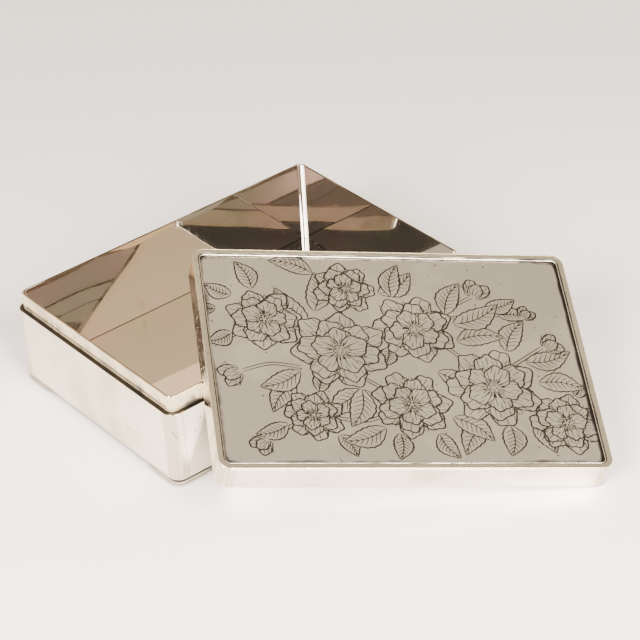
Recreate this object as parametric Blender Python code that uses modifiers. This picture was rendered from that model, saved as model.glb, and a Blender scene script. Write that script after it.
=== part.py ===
"""Silver lidded box for papers and keepsakes, with its loose lid taken off.

The box is a straight wall bent round soft corners, on four low bracket feet. An inner wall
holds the floor plate and rises past the shoulder as a collar, and the lid's skirt drops
over that collar. Here the lid leans on the box: the plane of its lower edge lies on the near
rim, and its lowest corner stands on the table.

Metres, +Z up, X along the box's long side. The origin is at the middle of the whole
group's bounding box, on the table.
"""
import math

import bmesh
import bpy
from mathutils import Matrix, Vector

# Outer wall of the box
BODY_LENGTH = 0.180
BODY_WIDTH = 0.126
CORNER_RADIUS = 0.0057
SHOULDER_HEIGHT = 0.0406
WALL_THICK = 0.0018
WALL_EDGE_ROUND = 0.00035

# Inner wall, whose top is the collar that holds the lid, and the floor plate inside it
COLLAR_RISE = 0.0088
COLLAR_THICK = 0.0010
LID_CLEARANCE = 0.00035
FLOOR_THICK = 0.0009

# Thin joints between pieces that are soldered or rest on each other
SEAM_GAP = 0.0003

# Bracket feet
FOOT_HEIGHT = 0.0032
FOOT_REACH = 0.027
FOOT_THICK = 0.0022
FOOT_INSET = 0.0008
FOOT_TIP_HEIGHT = 0.0007
FOOT_FULL_SHARE = 0.22
FOOT_STEPS = 14

# Lid
LID_HEIGHT = 0.0144
SKIRT_THICK = 0.0018
SKIRT_EDGE_ROUND = 0.0003
MOULDING_WIDTH = 0.0025
OUTER_BEAD_WIDTH = 0.0009
COVE_DEPTH = 0.00035
WIRE_DIAMETER = 0.0009
PANEL_THICK = 0.0010
PANEL_RECESS = 0.0012

# How the lid leans: the stretch of its slope below the rim, its turn, and its place along the rim
LEAN_SLOPE_SHARE = 0.7165
LID_TURN = math.radians(-31.1)
LID_ALONG_RIM = 0.0096

# Faceting
CORNER_STEPS = 8
ROUND_STEPS = 4
WIRE_SIDES = 12

PARTS = bpy.data.collections.new("silver_lidded_box")
GUIDES = bpy.data.collections.new("guides")


def silver(name, colour, roughness):
    """A Principled metal for one piece."""
    material = bpy.data.materials.new(name)
    material.use_nodes = True
    shader = material.node_tree.nodes["Principled BSDF"]
    shader.inputs["Base Color"].default_value = (*colour, 1.0)
    shader.inputs["Roughness"].default_value = roughness
    shader.inputs["Metallic"].default_value = 1.0
    return material


def arc(centre, radius, start, end, steps):
    """Points of an arc from one angle to another, in degrees, both ends included."""
    points = []
    for step in range(steps + 1):
        angle = math.radians(start + (end - start) * step / steps)
        points.append((centre[0] + radius * math.cos(angle), centre[1] + radius * math.sin(angle)))
    return points


def outline(inset):
    """The body's plan drawn in by an inset: a rectangle with round corners, counter-clockwise."""
    radius = CORNER_RADIUS - inset
    across = BODY_LENGTH / 2 - CORNER_RADIUS
    along = BODY_WIDTH / 2 - CORNER_RADIUS
    corners = ((across, -along), (across, along), (-across, along), (-across, -along))
    points = []
    for number, corner in enumerate(corners):
        points += arc(corner, radius, 90 * number - 90, 90 * number, CORNER_STEPS)
    return points


def flat_curve(name, points, collection):
    """A closed flat curve through the points."""
    curve = bpy.data.curves.new(name, "CURVE")
    curve.dimensions = "2D"
    spline = curve.splines.new("POLY")
    spline.points.add(len(points) - 1)
    spline.use_cyclic_u = True
    for point, place in zip(spline.points, points):
        point.co = (place[0], place[1], 0.0, 1.0)
    thing = bpy.data.objects.new(name, curve)
    collection.objects.link(thing)
    return thing


def ring(name, profile, inset, parent, material):
    """A cross-section swept round the body's plan.

    The profile's points are (inset from the path, height), up the outer side, over the top
    and down the inner side. The path is the body's plan drawn in by the inset.
    """
    section = flat_curve(name + "_section", profile, GUIDES)
    section.hide_render = True
    section.display_type = "WIRE"
    thing = flat_curve(name, outline(inset), PARTS)
    thing.data.fill_mode = "NONE"
    thing.data.bevel_mode = "OBJECT"
    thing.data.bevel_object = section
    thing.data.materials.append(material)
    thing.parent = parent
    return thing


def plate(name, inset, bottom, thick, parent, material):
    """A flat plate with the body's plan drawn in by the inset."""
    thing = flat_curve(name, outline(inset), PARTS)
    thing.data.fill_mode = "BOTH"
    thing.data.extrude = thick / 2
    thing.data.materials.append(material)
    thing.location.z = bottom + thick / 2
    thing.parent = parent
    return thing


def make_body_wall(parent):
    """The outer wall: it stands clear of the feet and ends in the shoulder, softly rounded."""
    bottom = FOOT_HEIGHT + SEAM_GAP
    soft = WALL_EDGE_ROUND
    top = SHOULDER_HEIGHT
    profile = arc((soft, bottom + soft), soft, -90, -180, ROUND_STEPS)
    profile += arc((soft, top - soft), soft, 180, 90, ROUND_STEPS)
    profile += [(WALL_THICK, top), (WALL_THICK, bottom)]
    return ring("body_wall", profile, 0.0, parent, silver("body_silver", (0.80, 0.79, 0.77), 0.22))


def make_base_plate(parent):
    """The floor of the box, let into the foot of the inner wall."""
    inset = WALL_THICK + LID_CLEARANCE + COLLAR_THICK + SEAM_GAP
    finish = silver("floor_silver", (0.66, 0.61, 0.55), 0.12)
    return plate("base_plate", inset, FOOT_HEIGHT + SEAM_GAP, FLOOR_THICK, parent, finish)


def make_collar(parent):
    """The inner wall. Above the shoulder it is the collar that the lid drops over."""
    bottom = FOOT_HEIGHT + SEAM_GAP
    top = SHOULDER_HEIGHT + COLLAR_RISE
    soft = COLLAR_THICK / 2
    profile = [(0.0, bottom)]
    profile += arc((soft, top - soft), soft, 180, 0, 2 * ROUND_STEPS)
    profile += [(COLLAR_THICK, bottom)]
    finish = silver("lining_silver", (0.66, 0.61, 0.55), 0.10)
    return ring("collar", profile, WALL_THICK + LID_CLEARANCE, parent, finish)


def foot_strip_points():
    """The foot's outer line in plan, from one thin end round the corner to the other.

    Each point comes with its distance along the strip to the nearer side of the corner's arc.
    """
    radius = CORNER_RADIUS - FOOT_INSET
    straight = FOOT_REACH - CORNER_RADIUS
    across = BODY_LENGTH / 2 - CORNER_RADIUS
    along = BODY_WIDTH / 2 - CORNER_RADIUS
    points = []
    for step in range(FOOT_STEPS):
        far = straight * (1 - step / FOOT_STEPS)
        points.append((across + radius, along - far, far))
    for place in arc((across, along), radius, 0, 90, CORNER_STEPS):
        points.append((place[0], place[1], 0.0))
    for step in range(1, FOOT_STEPS + 1):
        far = straight * step / FOOT_STEPS
        points.append((across - far, along + radius, far))
    return points


def foot_depth(far):
    """Depth of the bracket at a distance from the corner's arc: full, then an ogee to the tip."""
    full = (FOOT_REACH - CORNER_RADIUS) * FOOT_FULL_SHARE
    run = FOOT_REACH - CORNER_RADIUS - full
    part = max(0.0, (far - full) / run)
    swing = (1 + math.cos(math.pi * part)) / 2
    return FOOT_TIP_HEIGHT + (FOOT_HEIGHT - FOOT_TIP_HEIGHT) * swing


def make_foot(name, turned_x, turned_y, parent, material):
    """One bracket foot: an open strip round the corner, thickened inwards."""
    strip = bmesh.new()
    upper = []
    lower = []
    for across, along, far in foot_strip_points():
        upper.append(strip.verts.new((turned_x * across, turned_y * along, FOOT_HEIGHT)))
        lower.append(strip.verts.new((turned_x * across, turned_y * along, FOOT_HEIGHT - foot_depth(far))))
    for here in range(len(upper) - 1):
        face = (lower[here], lower[here + 1], upper[here + 1], upper[here])
        if turned_x * turned_y < 0:
            face = face[::-1]
        strip.faces.new(face)
    mesh = bpy.data.meshes.new(name)
    strip.to_mesh(mesh)
    strip.free()
    mesh.materials.append(material)
    thing = bpy.data.objects.new(name, mesh)
    PARTS.objects.link(thing)
    thickness = thing.modifiers.new("thickness", "SOLIDIFY")
    thickness.thickness = FOOT_THICK
    thickness.offset = -1.0
    thickness.use_even_offset = True
    thing.parent = parent
    return thing


def make_feet(parent):
    """Four feet, mirror images of each other, set in a little from the wall."""
    finish = silver("foot_silver", (0.74, 0.73, 0.71), 0.24)
    for along_word, turned_y in (("near", -1), ("far", 1)):
        for across_word, turned_x in (("left", -1), ("right", 1)):
            make_foot("foot_" + along_word + "_" + across_word, turned_x, turned_y, parent, finish)


def make_lid_skirt(parent):
    """The lid's wall, level with the panel. Its lower edge lands on the shoulder when closed."""
    top = LID_HEIGHT - PANEL_RECESS
    soft = SKIRT_EDGE_ROUND
    profile = arc((soft, soft), soft, -90, -180, ROUND_STEPS)
    profile += [(0.0, top), (SKIRT_THICK, top), (SKIRT_THICK, 0.0)]
    return ring("lid_skirt", profile, 0.0, parent, silver("skirt_silver", (0.80, 0.79, 0.77), 0.22))


def make_lid_moulding(parent):
    """The border on the lid's top edge: a round outer bead, then a shallow cove.

    It lies on the skirt and laps over the panel's edge.
    """
    bottom = LID_HEIGHT - PANEL_RECESS + SEAM_GAP
    bead = OUTER_BEAD_WIDTH / 2
    cove_run = (MOULDING_WIDTH - OUTER_BEAD_WIDTH) / 2
    cove_top = LID_HEIGHT - bead
    profile = [(0.0, bottom)]
    profile += arc((bead, cove_top), bead, 180, 0, 2 * ROUND_STEPS)
    for step in range(1, 2 * ROUND_STEPS):
        part = step / ROUND_STEPS
        sag = COVE_DEPTH * (1 - (part - 1) ** 2)
        profile.append((OUTER_BEAD_WIDTH + part * cove_run, cove_top - sag))
    profile += [(MOULDING_WIDTH, cove_top), (MOULDING_WIDTH, bottom)]
    return ring("lid_moulding", profile, 0.0, parent, silver("border_silver", (0.72, 0.69, 0.64), 0.28))


def make_lid_bead(parent):
    """The wire that hides the joint between the moulding and the panel."""
    radius = WIRE_DIAMETER / 2
    height = LID_HEIGHT - PANEL_RECESS + SEAM_GAP + radius
    turn = 360 / WIRE_SIDES
    profile = arc((radius, height), radius, 180, 180 - (360 - turn), WIRE_SIDES - 1)
    return ring("lid_bead", profile, MOULDING_WIDTH + SEAM_GAP, parent, silver("bead_silver", (0.82, 0.81, 0.79), 0.15))


def make_lid_panel(parent):
    """The recessed plate inside the skirt, which holds the engraved picture."""
    inset = SKIRT_THICK + SEAM_GAP
    bottom = LID_HEIGHT - PANEL_RECESS - PANEL_THICK
    finish = silver("panel_silver", (0.62, 0.59, 0.54), 0.32)
    return plate("lid_panel", inset, bottom, PANEL_THICK, parent, finish)


def lid_slope_reach():
    """From the lid's middle to its lowest point, measured down the slope."""
    across = (BODY_LENGTH / 2 - CORNER_RADIUS) * abs(math.sin(LID_TURN))
    along = (BODY_WIDTH / 2 - CORNER_RADIUS) * math.cos(LID_TURN)
    return across + along + CORNER_RADIUS


def lid_placement():
    """Where the leaning lid stands, as a matrix, with its lower edge's plane at z = 0.

    The plane rests a seam's gap above the near rim of the collar, and the lowest corner
    is as much above the table. The lean follows from the height between the two.
    """
    rim_height = SHOULDER_HEIGHT + COLLAR_RISE
    reach = lid_slope_reach()
    slope = LEAN_SLOPE_SHARE * 2 * reach
    lean = math.asin(rim_height / slope)
    rim = Vector((LID_ALONG_RIM, -(BODY_WIDTH / 2 - WALL_THICK - LID_CLEARANCE), rim_height))
    lift = Vector((0.0, -math.sin(lean), math.cos(lean))) * SEAM_GAP
    down = Vector((0.0, -math.cos(lean), -math.sin(lean)))
    middle = rim + lift + down * (slope - reach)
    return Matrix.Translation(middle) @ Matrix.Rotation(lean, 4, "X") @ Matrix.Rotation(LID_TURN, 4, "Z")


def centre_group(root):
    """Move the group so that the middle of its bounding box's bottom is at the origin."""
    bpy.context.view_layer.update()
    graph = bpy.context.evaluated_depsgraph_get()
    low = Vector((math.inf,) * 3)
    high = Vector((-math.inf,) * 3)
    for thing in PARTS.objects:
        if thing.type == "EMPTY":
            continue
        shape = thing.evaluated_get(graph)
        mesh = shape.to_mesh()
        for vertex in mesh.vertices:
            place = shape.matrix_world @ vertex.co
            low = Vector(map(min, low, place))
            high = Vector(map(max, high, place))
        shape.to_mesh_clear()
    root.location = (-(low.x + high.x) / 2, -(low.y + high.y) / 2, -low.z)
    bpy.context.view_layer.update()
    return low, high


def empty(name, parent=None):
    """An empty that carries pieces."""
    thing = bpy.data.objects.new(name, None)
    thing.parent = parent
    PARTS.objects.link(thing)
    return thing


def main():
    for thing in list(bpy.data.objects):
        bpy.data.objects.remove(thing)
    bpy.context.scene.collection.children.link(PARTS)
    bpy.context.scene.collection.children.link(GUIDES)

    root = empty("whole_group")
    box = empty("box", root)
    make_body_wall(box)
    make_base_plate(box)
    make_collar(box)
    make_feet(box)

    lid = empty("lid", root)
    lid.matrix_basis = lid_placement()
    make_lid_skirt(lid)
    make_lid_moulding(lid)
    make_lid_bead(lid)
    make_lid_panel(lid)

    low, high = centre_group(root)
    print("size", tuple(round(value, 5) for value in high - low))
    print("box centre on the table", tuple(round(value, 5) for value in box.matrix_world.translation))
    print("lid placement", [tuple(round(value, 5) for value in row) for row in lid.matrix_world])


main()
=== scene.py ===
# %% [markdown]
# A silver box with a loose lid. Almost all that the eye sees in polished silver is a reflection, so this
# script spends its care on three things: smooth surfaces with true normals, a studio that is worth
# reflecting, and the small signs of age that a mirror alone would lack.

# %% Load the frame
import math

import bpy
import numpy as np
from mathutils import Matrix, Vector, geometry


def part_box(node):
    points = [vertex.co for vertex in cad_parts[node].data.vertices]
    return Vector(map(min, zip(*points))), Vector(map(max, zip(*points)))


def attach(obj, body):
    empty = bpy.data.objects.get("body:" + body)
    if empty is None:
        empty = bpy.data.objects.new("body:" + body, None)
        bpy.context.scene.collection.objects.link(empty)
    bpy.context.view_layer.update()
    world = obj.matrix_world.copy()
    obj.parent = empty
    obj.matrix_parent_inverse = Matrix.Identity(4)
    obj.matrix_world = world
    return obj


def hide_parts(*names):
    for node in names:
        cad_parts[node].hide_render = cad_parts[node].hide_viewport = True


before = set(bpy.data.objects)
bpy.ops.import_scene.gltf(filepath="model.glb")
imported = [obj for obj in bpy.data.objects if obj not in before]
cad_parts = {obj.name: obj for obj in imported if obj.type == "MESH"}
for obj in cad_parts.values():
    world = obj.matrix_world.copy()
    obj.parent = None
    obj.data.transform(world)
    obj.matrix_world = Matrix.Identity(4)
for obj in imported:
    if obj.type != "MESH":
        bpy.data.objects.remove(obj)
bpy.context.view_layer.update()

print("nodes in the frame:", ", ".join(sorted(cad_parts)))

# %% [markdown]
# The frame holds every piece at its real size, a little faceted at the corners. Facets show in a
# mirror, so each piece is made again here as a smooth surface of the same size. These are the sizes,
# in metres.

# %% Sizes of the sheet, wire and feet
BODY_LENGTH = 0.180
BODY_WIDTH = 0.126
CORNER_RADIUS = 0.0057
WALL_THICK = 0.0018
FOOT_HEIGHT = 0.0032
SEAM_GAP = 0.0003
SHOULDER_HEIGHT = 0.0406
RIM_HEIGHT = 0.0494
COLLAR_INSET = 0.00215
COLLAR_THICK = 0.0010
FLOOR_THICK = 0.0009
LID_HEIGHT = 0.0144
PANEL_RECESS = 0.0012
PANEL_THICK = 0.0010
PANEL_INSET = 0.0021
MOULDING_WIDTH = 0.0025
MM = 0.001

# %% [markdown]
# The box stands square to the frame, so its middle is the middle of its wall. The lid leans, so its own
# axes are read from its flat panel: the panel's corners spread most along its length, less along its
# width and least through its thickness, and a singular value decomposition finds those three directions.

# %% Where the box and the lid stand
wall_low, wall_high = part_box("body_wall")
box_middle = Vector(((wall_low[0] + wall_high[0]) / 2, (wall_low[1] + wall_high[1]) / 2, 0.0))


def plate_axes(node):
    """Middle and axes of a flat plate: its mean point, and the right singular vectors of its spread."""
    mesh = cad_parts[node].data
    points = np.empty(len(mesh.vertices) * 3)
    mesh.vertices.foreach_get("co", points)
    corners = np.unique(points.reshape(-1, 3).round(6), axis=0)
    middle = (corners.min(axis=0) + corners.max(axis=0)) / 2
    axes = np.linalg.svd(corners - middle, full_matrices=False)[2]
    along = axes[0] * np.sign(axes[0][0])
    across = axes[1] * np.sign(axes[1][1])
    return middle, along, across, np.cross(along, across)


panel_middle, lid_x, lid_y, lid_up = plate_axes("lid_panel")
panel_depth = LID_HEIGHT - PANEL_RECESS - PANEL_THICK / 2
lid_foot = panel_middle - lid_up * panel_depth
box_place = Matrix.Translation(box_middle)
lid_place = Matrix((
    (lid_x[0], lid_y[0], lid_up[0], lid_foot[0]),
    (lid_x[1], lid_y[1], lid_up[1], lid_foot[1]),
    (lid_x[2], lid_y[2], lid_up[2], lid_foot[2]),
    (0.0, 0.0, 0.0, 1.0),
))
print("the lid leans", round(math.degrees(math.acos(lid_up[2])), 2), "degrees")

# %% [markdown]
# The camera looks down on the near left corner through a long lens. It is placed by the point that it
# looks at, its turn, its dip and its slight roll.

# %% The camera
CAMERA_TARGET = Vector((0.0216, -0.0329, 0.0270))
CAMERA_DISTANCE = 1.134
CAMERA_TURN = math.radians(-37.78)
CAMERA_DIP = math.radians(-33.87)
CAMERA_ROLL = math.radians(-3.455)
CAMERA_LENS = 131.7


def aim_camera():
    """A camera whose forward, right and up directions follow from turn, dip and roll."""
    turn, dip, roll = CAMERA_TURN, CAMERA_DIP, CAMERA_ROLL
    forward = Vector((-math.sin(turn) * math.cos(dip), math.cos(turn) * math.cos(dip), math.sin(dip)))
    level = Vector((math.cos(turn), math.sin(turn), 0.0))
    upright = level.cross(forward)
    right = level * math.cos(roll) + upright * math.sin(roll)
    up = upright * math.cos(roll) - level * math.sin(roll)
    place = box_middle + CAMERA_TARGET - forward * CAMERA_DISTANCE
    camera = bpy.data.objects.new("camera", bpy.data.cameras.new("camera"))
    camera.data.lens = CAMERA_LENS
    camera.data.sensor_width = 36.0
    camera.data.clip_end = 50.0
    camera.matrix_world = Matrix.Translation(place) @ Matrix((right, up, -forward)).transposed().to_4x4()
    bpy.context.collection.objects.link(camera)
    bpy.context.scene.camera = camera
    return camera


camera = aim_camera()
print("camera at", [round(value, 3) for value in camera.matrix_world.translation])

# %% [markdown]
# Every surface below is a grid of points worked out as whole arrays. One helper turns such a grid into
# a mesh. It also takes the surface's own normals. Blender could average them from the faces round a
# point, but a mirror shows every error of such an average.

# %% From a grid of points to a mesh


def grid_faces(rows, columns):
    """Corner numbers of the quads of a grid whose columns close on themselves."""
    row, column = np.meshgrid(np.arange(rows - 1), np.arange(columns), indexing="ij")
    after = (column + 1) % columns
    here, above = row * columns, (row + 1) * columns
    corners = (here + column, here + after, above + after, above + column)
    return np.stack(corners, axis=-1).reshape(-1, 4)


def new_piece(name, points, faces, normals=None):
    """A mesh object from arrays of points, faces and, if given, one normal for each point."""
    mesh = bpy.data.meshes.new(name)
    mesh.from_pydata(points.tolist(), [], [[int(c) for c in face] for face in faces])
    mesh.shade_smooth()
    if normals is not None:
        mesh.normals_split_custom_set_from_vertices(normals.tolist())
    mesh.update()
    piece = bpy.data.objects.new(name, mesh)
    bpy.context.collection.objects.link(piece)
    return piece


def rays(angles):
    """The unit vector at each angle."""
    return np.stack([np.cos(angles), np.sin(angles)], axis=-1)


def placed(points, normals, place):
    """Points and normals moved by a rigid placement."""
    turn = np.array(place.to_3x3())
    return points @ turn.T + np.array(place.translation), normals @ turn.T


# %% [markdown]
# A cross-section is a polygon with a small round at each corner, as worked metal has. Between the rounds
# it is straight, and its normals are exact.

# %% Rounded cross-sections


def rounded_section(corners, radii, steps=5):
    """A closed outline with rounded corners, and its outward normals.

    Each corner gives an arc that touches both sides: its centre lies on the corner's bisector, at
    radius / sin(half the angle) from the corner. The outline runs clockwise, as (inset, height).
    """
    corners = np.asarray(corners, float)
    points, normals = [], []
    for before, here, after, radius in zip(np.roll(corners, 1, 0), corners, np.roll(corners, -1, 0), radii):
        a = (before - here) / np.linalg.norm(before - here)
        b = (after - here) / np.linalg.norm(after - here)
        half = math.acos(np.clip(a @ b, -1, 1)) / 2
        bisector = (a + b) / np.linalg.norm(a + b)
        centre = here + bisector * radius / math.sin(half)
        corner_bands = np.sign(a[0] * b[1] - a[1] * b[0])
        first = here + a * radius / math.tan(half) - centre
        start = math.atan2(first[1], first[0])
        angles = start - corner_bands * np.linspace(0, math.pi - 2 * half, steps + 1)
        ray = rays(angles)
        points.append(centre + radius * ray)
        normals.append(ray * corner_bands)
    return np.concatenate(points), np.concatenate(normals)


# %% [markdown]
# The walls, the border and the wire all follow one path: a rectangle with round corners. Carrying a
# cross-section along that path gives the whole ring in one step, round corners included, because each
# section's inset is simply measured along the path's own normal.

# %% Rings carried round the box
CORNER_TURN_STEPS = 24
STRAIGHT_STEPS = 12


def plan_path(inset=0.0):
    """The body's plan: points and outward normals, counter-clockwise.

    Each corner is a quarter arc about its own centre. Each straight side joins two arcs, in even steps.
    """
    across = BODY_LENGTH / 2 - CORNER_RADIUS
    along = BODY_WIDTH / 2 - CORNER_RADIUS
    centres = np.array([(across, -along), (across, along), (-across, along), (-across, -along)])
    quarter = np.linspace(-math.pi / 2, 0, CORNER_TURN_STEPS + 1)
    points, normals = [], []
    for number, centre in enumerate(centres):
        ray = rays(quarter + number * math.pi / 2)
        arc = centre + (CORNER_RADIUS - inset) * ray
        following = centres[(number + 1) % 4] + (CORNER_RADIUS - inset) * ray[-1]
        share = np.arange(1, STRAIGHT_STEPS)[:, None] / STRAIGHT_STEPS
        points += [arc, arc[-1] + (following - arc[-1]) * share]
        normals += [ray, np.repeat(ray[-1:], STRAIGHT_STEPS - 1, axis=0)]
    return np.concatenate(points), np.concatenate(normals)


def swept(section, inset):
    """A section carried along the path: point (i, h) lies at path - i * outward normal, height h."""
    outline, facing = section
    path, outward = plan_path(inset)
    rows, columns = len(outline), len(path)
    flat = path[None] - outline[:, None, :1] * outward[None]
    sideways = -facing[:, None, :1] * outward[None]
    high, upward = (np.broadcast_to(part[:, None, 1:], (rows, columns, 1)) for part in section)
    points = np.concatenate([flat, high], axis=-1).reshape(-1, 3)
    normals = np.concatenate([sideways, upward], axis=-1).reshape(-1, 3)
    return points, normals, rows, columns


def ring(name, section, place, inset=0.0):
    """A closed ring: the last row of the swept section joins the first again."""
    points, normals, rows, columns = swept(section, inset)
    points, normals = placed(points, normals, place)
    faces = grid_faces(rows + 1, columns) % (rows * columns)
    return new_piece(name, points, faces, normals)


# %% [markdown]
# Three pieces are upright sheets: the body's wall, the collar inside it and the lid's skirt. They differ
# only in height, thickness and how far each edge is rounded. The collar's rim is rounded almost in full,
# so that the lid slides on easily. The skirt stands in by a hair, so that its smooth corners stay
# within the faceted ones of the frame.

# %% Wall, collar and skirt
WALL_ROUNDS = (0.35, 0.2, 0.1, 0.1)
COLLAR_ROUNDS = (0.1, 0.45, 0.45, 0.1)
COLLAR_ROUND_STEPS = 8
SKIRT_ROUNDS = (0.3, 0.15, 0.1, 0.2)
SKIRT_ALLOWANCE = 0.01 * MM


def sheet_section(foot, top, thick, rounds, steps=5):
    """An upright sheet: outer foot, outer top, inner top, inner foot, and the rounds there in mm."""
    corners = [(0.0, foot), (0.0, top), (thick, top), (thick, foot)]
    return rounded_section(corners, [value * MM for value in rounds], steps)


wall_foot = FOOT_HEIGHT + SEAM_GAP
skirt_top = LID_HEIGHT - PANEL_RECESS
body_section = sheet_section(wall_foot, SHOULDER_HEIGHT, WALL_THICK, WALL_ROUNDS)
collar_section = sheet_section(wall_foot, RIM_HEIGHT, COLLAR_THICK, COLLAR_ROUNDS, COLLAR_ROUND_STEPS)
skirt_section = sheet_section(0.0, skirt_top, WALL_THICK, SKIRT_ROUNDS)
body_wall = ring("outer_wall", body_section, box_place)
collar = ring("inner_wall", collar_section, box_place, inset=COLLAR_INSET)
skirt = ring("skirt", skirt_section, lid_place, inset=SKIRT_ALLOWANCE)
for piece in (body_wall, collar, skirt):
    print(piece.name, "has", len(piece.data.polygons), "quads")

# %% [markdown]
# The border is two pieces: a moulding with a round outer bead and a shallow flat band, and a wire laid
# in the angle between that moulding and the panel. The dark line between them is a real gap. A line
# painted on one broad strip would be less work, but it wouldn't catch the light on both its sides.

# %% The border's moulding and wire
OUTER_BEAD = 0.36 * MM
BAND_DROP = 0.12 * MM
BAND_FALL = 0.06 * MM
BORDER_ROUNDS = (0.1, 0.17, 0.03, 0.015, 0.14, 0.05)
BORDER_ROUND_STEPS = 8
EDGE_ALLOWANCE = 0.07 * MM
WIRE_RADIUS = 0.28 * MM
WIRE_GAP = 0.4 * MM
WIRE_SIDES = 28
WIRE_SINK = 0.05 * MM

border_foot = LID_HEIGHT - PANEL_RECESS + SEAM_GAP
bead_height = LID_HEIGHT - EDGE_ALLOWANCE
band_height = LID_HEIGHT - BAND_DROP
moulding_section = rounded_section(
    [(0.0, border_foot), (0.0, bead_height), (OUTER_BEAD, bead_height), (OUTER_BEAD, band_height),
     (MOULDING_WIDTH, band_height - BAND_FALL), (MOULDING_WIDTH, border_foot)],
    [value * MM for value in BORDER_ROUNDS],
    steps=BORDER_ROUND_STEPS,
)
moulding = ring("moulding", moulding_section, lid_place, inset=EDGE_ALLOWANCE)


def wire_section(centre_height):
    """A circle, clockwise: each point is the centre plus the radius times its outward normal."""
    ray = rays(-np.linspace(0, 2 * math.pi, WIRE_SIDES, endpoint=False))
    centre = np.array([WIRE_RADIUS, centre_height])
    return centre + WIRE_RADIUS * ray, ray


wire_height = border_foot + WIRE_RADIUS - WIRE_SINK
wire = ring("wire", wire_section(wire_height), lid_place, inset=MOULDING_WIDTH + WIRE_GAP)
print("border:", len(moulding.data.polygons) + len(wire.data.polygons), "quads")

# %% [markdown]
# A flat plate is the same idea with its middle filled: rings of the plan, drawn in towards two poles,
# one above and one below. A sheet's edge is never sharp, so the rings turn over a small round.

# %% Flat plates
FLAT_EDGE_ROUND = 0.12 * MM
FLAT_ROUND_STEPS = 4


def plate(name, inset, bottom, thick, place):
    """A closed plate: a pole, the rounded rim's rings from top to bottom, and a pole below."""
    soft = FLAT_EDGE_ROUND
    turn = np.linspace(0, math.pi / 2, FLAT_ROUND_STEPS + 1)
    rise, run = np.sin(turn), np.cos(turn)
    reach = np.concatenate([soft - soft * rise, soft - soft * run])
    height = np.concatenate([bottom + thick - soft + soft * run, bottom + soft - soft * rise])
    facing = np.concatenate([np.stack([-rise, run], -1), np.stack([-run, -rise], -1)])
    points, normals, rows, columns = swept((np.stack([reach, height], -1), facing), inset)
    points = np.concatenate([points, [[0, 0, bottom + thick], [0, 0, bottom]]])
    normals = np.concatenate([normals, [[0, 0, 1], [0, 0, -1]]])
    points, normals = placed(points, normals, place)
    faces = grid_faces(rows, columns)[:, ::-1].tolist()
    column = np.arange(columns)
    top, under = rows * columns, rows * columns + 1
    faces += np.stack([column, (column + 1) % columns, np.full(columns, top)], -1).tolist()
    last = (rows - 1) * columns
    faces += np.stack([last + (column + 1) % columns, last + column, np.full(columns, under)], -1).tolist()
    return new_piece(name, points, faces, normals)


# %% [markdown]
# The floor is such a plate, let in between the collar's four sides. It lies very close to them, because
# in a mirror even a narrow gap is doubled and shows as a black line.

# %% The floor
FLOOR_GAP = 0.04 * MM
floor_inset = COLLAR_INSET + COLLAR_THICK + FLOOR_GAP
floor_plate = plate("floor_plate", floor_inset, wall_foot, FLOOR_THICK, box_place)
print("floor plate:", len(floor_plate.data.polygons), "faces")

# %% [markdown]
# Each foot is a low bracket, deepest under the corner, that thins away along both walls in an ogee. It
# is a rounded cross-section carried round the corner, with its depth as a function of the distance from
# the corner. The last few sections shrink, so the thin ends close softly.

# %% The bracket feet
FOOT_REACH = 0.027
FOOT_THICK = 0.0022
FOOT_INSET = 0.0008
FOOT_TIP_HEIGHT = 0.0007
FOOT_FULL_SHARE = 0.22
FOOT_LEG_STEPS = 30
FOOT_BEND_STEPS = 16
FOOT_ROUNDS = (0.25, 0.1, 0.1, 0.25)
FOOT_ROUND_STEPS = 3
FOOT_TIP_SHARES = (0.0, 0.6, 0.85, 0.96)


def foot_depth(far):
    """Full depth near the corner, then half a cosine wave down to the tip's depth."""
    leg = FOOT_REACH - CORNER_RADIUS
    full = leg * FOOT_FULL_SHARE
    part = np.clip((far - full) / (leg - full), 0, 1)
    return FOOT_TIP_HEIGHT + (FOOT_HEIGHT - FOOT_TIP_HEIGHT) * (1 + np.cos(math.pi * part)) / 2


def foot_stations():
    """Places and outward normals along the foot's outer line, with the distance from the bend."""
    leg = FOOT_REACH - CORNER_RADIUS
    radius = CORNER_RADIUS - FOOT_INSET
    centre = np.array([BODY_LENGTH / 2 - CORNER_RADIUS, BODY_WIDTH / 2 - CORNER_RADIUS])
    far = np.linspace(leg, 0, FOOT_LEG_STEPS)
    corner_bands = np.linspace(0, math.pi / 2, FOOT_BEND_STEPS + 1)[1:-1]
    outward = np.concatenate([
        np.repeat([[1.0, 0.0]], FOOT_LEG_STEPS, 0),
        rays(corner_bands),
        np.repeat([[0.0, 1.0]], FOOT_LEG_STEPS, 0),
    ])
    slide = np.zeros_like(outward)
    slide[:FOOT_LEG_STEPS, 1] = -far
    slide[-FOOT_LEG_STEPS:, 0] = -far[::-1]
    distance = np.concatenate([far, np.zeros(len(corner_bands)), far[::-1]])
    return centre + radius * outward + slide, outward, distance


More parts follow.
